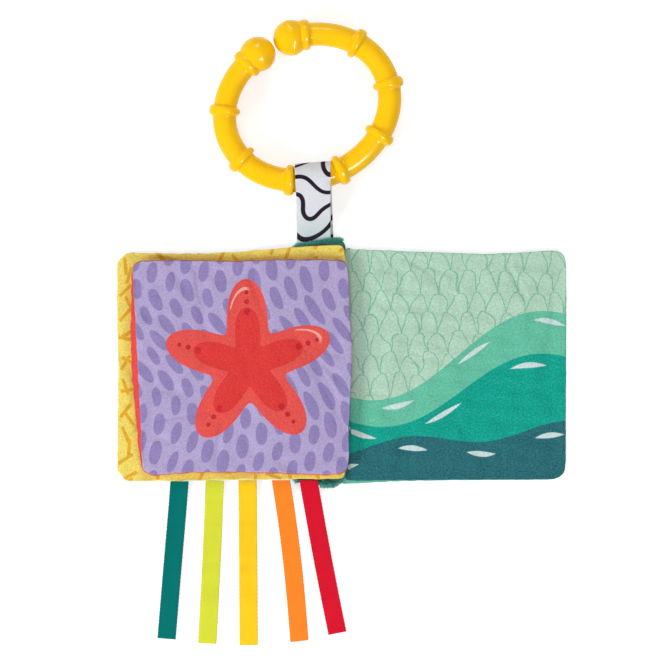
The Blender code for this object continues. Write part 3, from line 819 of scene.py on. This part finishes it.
def swell_print(tree, x, y):
    """Fish scales on pale mint, and three swells below, one over the other, with short pale dashes.

    A scale's outline is the arch v = 1 - |u|^2.8 in its half-drop cell, drawn as wide as its slope asks. A
    dash is a bent lens that follows its swell and is thickest in its middle.
    """
    pale_mint, scale_green, foam_white = (182, 216, 194), (134, 193, 163), (208, 228, 226)
    mint_green, emerald, deep_teal = (105, 196, 166), (16, 165, 146), (45, 110, 118)
    wide, high, arch_power = 1.05, 1.12, 2.8
    bent_x = x + (noise(x, y, 0.7, 1.0) - 0.5) * 0.8
    bent_y = y + (noise(x + 7.0, y, 0.8, 1.0) - 0.5) * 0.9
    row = (bent_y / high).made("FLOOR")
    u = abs(((bent_x / wide) + row * 0.5).made("FRACT") - 0.5) * 2.0
    v = (bent_y / high).made("FRACT")
    arch = (u.power(arch_power) * -1.0) + 1.0
    steep = u.power(arch_power - 1) * (2 * arch_power * high / wide)
    line = (abs(v - arch) * high / (steep * steep + 1.0).made("SQRT")).below(0.032, 0.03)
    painted = mixed(tree, line, pale_mint, scale_green)
    swells = (((0.42, 0.5, 1.5, 0.22), 2.6, mint_green, 3.15, 1.0, 4.1),
              ((0.45, 0.2, 1.2, 0.20), 4.4, emerald, 4.95, 3.2, 4.6),
              ((0.75, 2.0, 0.35, 0.10), 6.3, deep_teal, 6.95, 2.0, 3.7))
    for form, level, colour, *_ in swells:
        painted = mixed(tree, above_swell(x, y, *form, level).below(0, 0.04), painted, colour)
    for form, *_, dash_level, start, pitch in swells:
        place = ((x - start) / pitch).made("FRACT") - 0.5
        thick = (place * place * -22.0) + 1.0
        bent = above_swell(x, y, *form, dash_level) + (place * 5.0).sine() * 0.10
        painted = mixed(tree, abs(bent).below(0.0, 0.03, thick * 0.15), painted, foam_white)
    return painted


back_inside = make_panel(
    "back_cover_inside",
    leaf_panel(back_edge, back_pucker, cover_seam_z, cover_rise, printed_form,
               fold=0.0026, tuck=0.0006, lift=back_dip, seed=31),
    cloth("mint_print_cloth", swell_print, fleck=0.15),
    ("back_cover_face", "back_cover_film"), bound=True)
back_outside = make_panel(
    "back_cover_outside",
    leaf_panel(back_outer_edge, back_outer_pucker, cover_seam_z, -cover_rise, plain_cover_form,
               fold=0, tuck=0.0004, lift=no_lift, seed=32),
    cloth("mint_cloth", plain((105, 196, 166))),
    ("back_cover_outer", "back_cover_wadding"), bound=True)
for piece in (back_inside, back_outside):
    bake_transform(piece)


# Spine band
# A strip of teal plush behind the spine, sewn to the front cover and rolled over at both ends.
# It is a thick band of fabric, and short fibres stand out of it where its ends show.

spine_low, spine_high = (np.array(corner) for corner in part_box("spine_band"))
spine_rows, spine_columns = 300, 61
spine_half_wall, spine_end_swell, spine_end_radius, spine_swell_length = 0.0008, 0.00045, 0.0013, 0.0012
spine_corner_length, spine_end_width_share = 0.0042, 0.72
top_end_start_y, top_end_length = 0.030, 0.018
low_end_start_y, low_end_length = -0.060, 0.0175
roll_middle_x, roll_half_width, roll_swell_share = -0.0077, 0.0062, 0.45
fibre_count, fibre_length, fibre_radius, fibre_spread = 11000, 0.0022, 0.00017, 0.45


def low_end_rise(x):
    """How far the low end lies above its lowest point, by place: lowest at the roll near the right."""
    places, rises = (-26.4, -23, -14, -11.5, -4.5, -2.6, 2.2), (3.2, 1.5, 1.0, 0.1, 0.0, 1.4, 6.6)
    return np.interp(x * 1000, places, rises) / 1000


def spine_grid():
    """A thick band along Y; half its thickness swells from 0.8 to 1.25 mm at its ends and closes as a circle.

    Its corners are rounded, its top end follows the slanted drop and its low end the rise above, and a roll
    nearly half as thick again lies at the low end's right.
    """
    half_length = (spine_high[1] - spine_low[1]) / 2
    t = np.sin(np.linspace(-1, 1, spine_rows) * math.pi / 2 * 0.999)
    y = (spine_high[1] + spine_low[1]) / 2 + t * half_length
    from_end = np.minimum(y - spine_low[1], spine_high[1] - y)
    swell_share = np.exp(-((from_end - spine_end_radius) / spine_swell_length) ** 2)
    swell = spine_half_wall + spine_end_swell * swell_share
    wall = swell * np.sqrt(np.clip(1 - (1 - np.clip(from_end / spine_end_radius, 0, 1)) ** 2, 1e-4, 1))
    x = (spine_low[0] + spine_high[0]) / 2
    centre = np.column_stack((np.full(spine_rows, x), y, swell + 0.0001))
    across = np.tile((1.0, 0.0, 0.0), (spine_rows, 1))
    normal = np.tile((0.0, 0.0, 1.0), (spine_rows, 1))
    shares = np.sin(np.linspace(-1, 1, spine_columns) * math.pi / 2)
    corner = np.sqrt(1 - np.clip(1 - from_end / spine_corner_length, 0, 1) ** 2.4)
    width_share = spine_end_width_share + (1 - spine_end_width_share) * corner
    half_width = (spine_high[0] - spine_low[0]) / 2 * width_share
    grid = band(centre, across, normal, shares, half_width, wall)
    low_share = np.clip((low_end_start_y - grid[..., 1]) / low_end_length, 0, 1)
    top_share = np.clip((grid[..., 1] - top_end_start_y) / top_end_length, 0, 1)
    grid[..., 1] -= top_end_drop(grid[..., 0]) * top_share
    grid[..., 1] += low_end_rise(grid[..., 0]) * low_share**2
    roll = np.clip(1 - ((grid[..., 0] - roll_middle_x) / roll_half_width) ** 4, 0, 1) * low_share**6
    grid[..., 2] *= 1 + roll_swell_share * roll
    return grid, band_places(y, shares, half_width)


def pile(name, grid, chosen, count, finish):
    """Short fibres on random points of the grid's chosen part, leaning at random off its normal.

    Each is a three-sided spike, whose foot is an even triangle round its root.
    """
    random = np.random.default_rng(17)
    across, along = np.roll(grid, -1, axis=1) - grid, np.gradient(grid, axis=0)
    normal = np.cross(across, along)
    normal /= np.linalg.norm(normal, axis=2, keepdims=True) + 1e-12
    rows, columns = np.nonzero(chosen)
    pick = random.integers(0, len(rows), count)
    i, j = rows[pick], columns[pick]
    aside, ahead = random.uniform(0, 1, (count, 1)), random.uniform(0, 1, (count, 1))
    root = grid[i, j] + across[i, j] * aside + along[i, j] * ahead
    lean = normal[i, j] + random.normal(0, fibre_spread, (count, 3)) + (0, 0, 0.5)
    lean /= np.linalg.norm(lean, axis=1, keepdims=True)
    side = np.cross(lean, random.normal(0, 1, (count, 3)))
    side /= np.linalg.norm(side, axis=1, keepdims=True)
    turns = np.arange(3)[:, None] * 2 * math.pi / 3
    spokes = side[:, None] * np.cos(turns) + np.cross(lean, side)[:, None] * np.sin(turns)
    tip = root + lean * fibre_length * random.uniform(0.4, 1.1, (count, 1))
    tip[:, 2] = np.maximum(tip[:, 2], 0.0001)
    points = np.concatenate((root[:, None] + spokes * fibre_radius, tip[:, None]), axis=1).reshape(-1, 3)
    corners = np.array([(0, 1, 3), (1, 2, 3), (2, 0, 3), (0, 2, 1)])
    faces = (np.arange(count)[:, None, None] * 4 + corners).reshape(-1, 3)
    chances = np.repeat(random.uniform(0, 1, (count, 2)), 4, axis=0)
    return make_mesh(name, points, faces.tolist(), finish, chances)


def pile_paint(tree, x, y):
    """Each fibre takes a teal between dark and light by its own chance x."""
    dark_teal, light_teal = (8, 120, 112), (128, 210, 198)
    return mixed(tree, x, dark_teal, light_teal)


def ends_that_show(grid):
    """The band's upper side at both ends, without what lies under the back cover and the red ribbon."""
    low_rows, top_rows, upper_side_z = 50, 44, 0.0006
    back_cover_x, red_ribbon_x, red_ribbon_reach = 0.0003, -0.0174, 0.0063
    row = np.arange(spine_rows)[:, None]
    top_end = (row >= spine_rows - top_rows) & (grid[..., 0] < back_cover_x)
    low_end = (row < low_rows) & (np.abs(grid[..., 0] - red_ribbon_x) > red_ribbon_reach)
    return (top_end | low_end) & (grid[..., 2] > upper_side_z)


grid, flat = spine_grid()
band_finish = cloth("teal_plush_band", plain((12, 128, 118)), grain=0.0004, thread=9.0, mottle=0.15,
                    fleck=0.08)
pile_finish = cloth("teal_pile", pile_paint, mottle=0.02, fleck=0.0)
spine = round_body("spine_plush", grid, band_finish, flat)
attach(spine, "front_cover")
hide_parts("spine_band")
spine_pile = pile("spine_plush_pile", grid, ends_that_show(grid), fibre_count, pile_finish)
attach(spine_pile, "front_cover")


# Ribbons
# Five woven satin ribbons, 10 mm wide, sewn side by side into the front cover's bottom seam.
# They drop to the table and lie in a fan, with cut ends.

ribbon_rows, ribbon_columns = 240, 21
ribbon_length, ribbon_half_width, ribbon_wall = 0.0874, 0.00495, 0.0004
ribbon_fall_share, ribbon_wave_height, ribbon_lying_z = 0.17, 0.0012, 0.0003
weave_notch, weave_notch_length = 0.00006, 0.00035


def ribbon_grid(start, start_z, length, fan, bow, seed):
    """A flat band that falls from the seam in its first sixth and then lies in one shallow wave.

    The fall is 1 - (3 t^2 - 2 t^3), the wave is sin^2, and a fine sine notches the edges as the weave does.
    """
    random = np.random.default_rng(seed)
    share = np.linspace(0, 1, ribbon_rows)
    fall = np.clip(share / ribbon_fall_share, 0, 1)
    height = (start_z - ribbon_lying_z) * (1 - fall * fall * (3 - 2 * fall)) + ribbon_lying_z
    lying = np.clip((share - ribbon_fall_share) / (1 - ribbon_fall_share), 0, 1)
    height += ribbon_wave_height * np.sin(math.pi * lying) ** 2
    aside = length * bow * np.sin(math.pi * share)
    heading = np.array((math.sin(fan), -math.cos(fan)))
    across = np.array((math.cos(fan), math.sin(fan)))
    flat = start + heading * (length * share)[:, None] + across * aside[:, None]
    turn = fan * fall
    side = np.column_stack((np.cos(turn), np.sin(turn), np.zeros(ribbon_rows)))
    normal = np.tile((0.0, 0.0, 1.0), (ribbon_rows, 1))
    shares = np.sin(np.linspace(-1, 1, ribbon_columns) * math.pi / 2)
    notches = np.sin(share * length / weave_notch_length + random.uniform(0, 6))
    half_width = ribbon_half_width + weave_notch * notches
    half_wall = np.full(ribbon_rows, ribbon_wall / 2)
    grid = band(np.column_stack((flat, height)), side, normal, shares, half_width, half_wall)
    return grid, band_places(share * length, shares, half_width)


def satin(name, colour):
    """Woven ribbon: fine ribs across its length, a painted sheen that lightens and darkens the colour slowly
    along it, darker woven edges.
    """
    finish, tree, shader = new_finish(name, 0.55, specular_ior_level=0.03)
    ribs_per_centimetre, edge_start = 220.0 / (2 * math.pi), 0.44
    x, y = flat_field(tree)
    rib = (y * (ribs_per_centimetre * 2 * math.pi)).sine()
    painted_sheen = noise(x * 0.3, y, 0.9, 2.0)
    edge = abs(x).below(edge_start, 0.03)
    speck = noise(x, y, 14.0, 2.0)
    # painted sheen: slow noise along the ribbon makes its colour up to 10% lighter or darker
    shade = (painted_sheen - 0.5) * 0.20 + (speck - 0.5) * 0.16 + rib * 0.03 + edge * 0.06 + 0.95
    level = tree.nodes.new("ShaderNodeVectorMath")
    level.operation = "SCALE"
    level.inputs[0].default_value = linear(colour)[:3]
    tree.links.new(shade.socket, level.inputs["Scale"])
    tree.links.new(level.outputs[0], shader.inputs["Base Color"])
    bumped(tree, shader, rib * 0.5 + noise(x, y, 30.0), 0.00006)
    return finish


# For each ribbon: name, colour, x and y of its root in millimetres, root's height, length share, fan and bow
ribbons = (("teal", (0, 112, 106), -87.57, -80.13, 0.0022, 0.980, -4.8, 0.0),
           ("lime", (213, 218, 58), -68.57, -79.83, 0.0022, 1.010, -2.7, 0.003),
           ("yellow", (248, 202, 33), -50.82, -79.64, 0.00266, 1.022, 0.4, 0.0),
           ("orange", (255, 135, 40), -32.75, -79.53, 0.00378, 1.005, 6.5, 0.012),
           ("red", (214, 20, 45), -17.90, -79.50, 0.00378, 0.966, 10.7, -0.004))
for number, (colour_name, colour, x, y, z, share, fan, bow) in enumerate(ribbons):
    length = ribbon_length * share
    grid, flat = ribbon_grid(np.array((x, y)) / 1000, z, length, math.radians(fan), bow, number)
    finish = satin(colour_name + "_ribbon", colour)
    ribbon = round_body("ribbon_" + colour_name + "_satin", grid[:, ::-1], finish, flat[:, ::-1])
    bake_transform(ribbon)
    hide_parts("ribbon_" + colour_name)


# Floor, light and camera
# A white table under the book, a faint lamp overhead, one beyond the ring and three at the near side.
# The camera looks straight down.

floor_half, floor_z = 3.0, -0.0002


def looked_at(tree):
    """1 for the camera's rays, also by a reflection or through something clear, and 0 for all others."""
    rays = tree.nodes.new("ShaderNodeLightPath")
    camera, glossy, through = (Field(tree, rays.outputs["Is " + kind + " Ray"])
                               for kind in ("Camera", "Glossy", "Transmission"))
    return (camera + glossy).made("ADD", through, clamp=True)


def white_floor(name):
    """A grey that the lamps and its own glow lift to white; the glow grows as the square of the distance."""
    finish, tree, shader = new_finish(name, 0.9, base_color=(0.60, 0.60, 0.60, 1), specular_ior_level=0.0)
    glow_at_middle, glow_growth = 0.6, 0.4
    split = tree.nodes.new("ShaderNodeSeparateXYZ")
    tree.links.new(tree.nodes.new("ShaderNodeTexCoord").outputs["Object"], split.inputs[0])
    x, y = Field(tree, split.outputs[0]), Field(tree, split.outputs[1])
    glow = ((x * x + y * y) * glow_growth).made("MINIMUM", 1 - glow_at_middle) + glow_at_middle
    shader.inputs["Emission Color"].default_value = (1, 1, 1, 1)
    tree.links.new((looked_at(tree) * glow).socket, shader.inputs["Emission Strength"])
    return finish


floor_corners = [(x * floor_half, y * floor_half, floor_z) for x, y in ((-1, -1), (1, -1), (1, 1), (-1, 1))]
floor = make_mesh("studio_floor", floor_corners, [(0, 1, 2, 3)], white_floor("floor_white"))

world_light, white = 0.32, (1, 1, 1, 1)
world = bpy.data.worlds.new("studio")
bpy.context.scene.world = world
world.use_nodes = True
tree = world.node_tree
brightness = looked_at(tree) * (1 - world_light) + world_light
tree.links.new(brightness.socket, tree.nodes["Background"].inputs["Strength"])
tree.nodes["Background"].inputs["Color"].default_value = white


def soft_box(name, place, target, size, watts):
    """A square lamp that faces its target and isn't seen by the camera."""
    data = bpy.data.lights.new(name, "AREA")
    data.shape, data.size, data.energy = "SQUARE", size, watts
    lamp = bpy.data.objects.new(name, data)
    bpy.context.scene.collection.objects.link(lamp)
    lamp.location = place
    direction = np.array(target) - np.array(place)
    lamp.rotation_euler = (math.atan2(math.hypot(direction[0], direction[1]), -direction[2]), 0,
                           math.atan2(direction[0], -direction[1]) + math.pi)
    lamp.visible_camera = False
    return lamp


book_middle, ring_side = (0, 0, 0), (0, 0.1, 0)
soft_box("lamp_over", (-0.1, 0.1, 1.6), book_middle, size=1.0, watts=1.5).visible_glossy = False
soft_box("lamp_top", (-0.10, 1.25, 0.75), ring_side, size=0.5, watts=8)
soft_box("lamp_low_left", (-1.15, -0.60, 0.75), book_middle, size=0.5, watts=16).visible_glossy = False
soft_box("lamp_low_front", (0.75, -1.0, 0.85), book_middle, size=0.5, watts=9).visible_glossy = False
soft_box("lamp_low_right", (0.55, -0.75, 1.15), ring_side, size=0.45, watts=36).visible_diffuse = False

camera_data = bpy.data.cameras.new("camera")
camera_data.lens, camera_data.sensor_width = 200, 36
camera_data.clip_end = 50
camera = bpy.data.objects.new("camera", camera_data)
bpy.context.scene.collection.objects.link(camera)
camera.location = (-0.0049, 0.0003, 2.0)
bpy.context.scene.camera = camera
bpy.context.scene.view_settings.view_transform = "Standard"
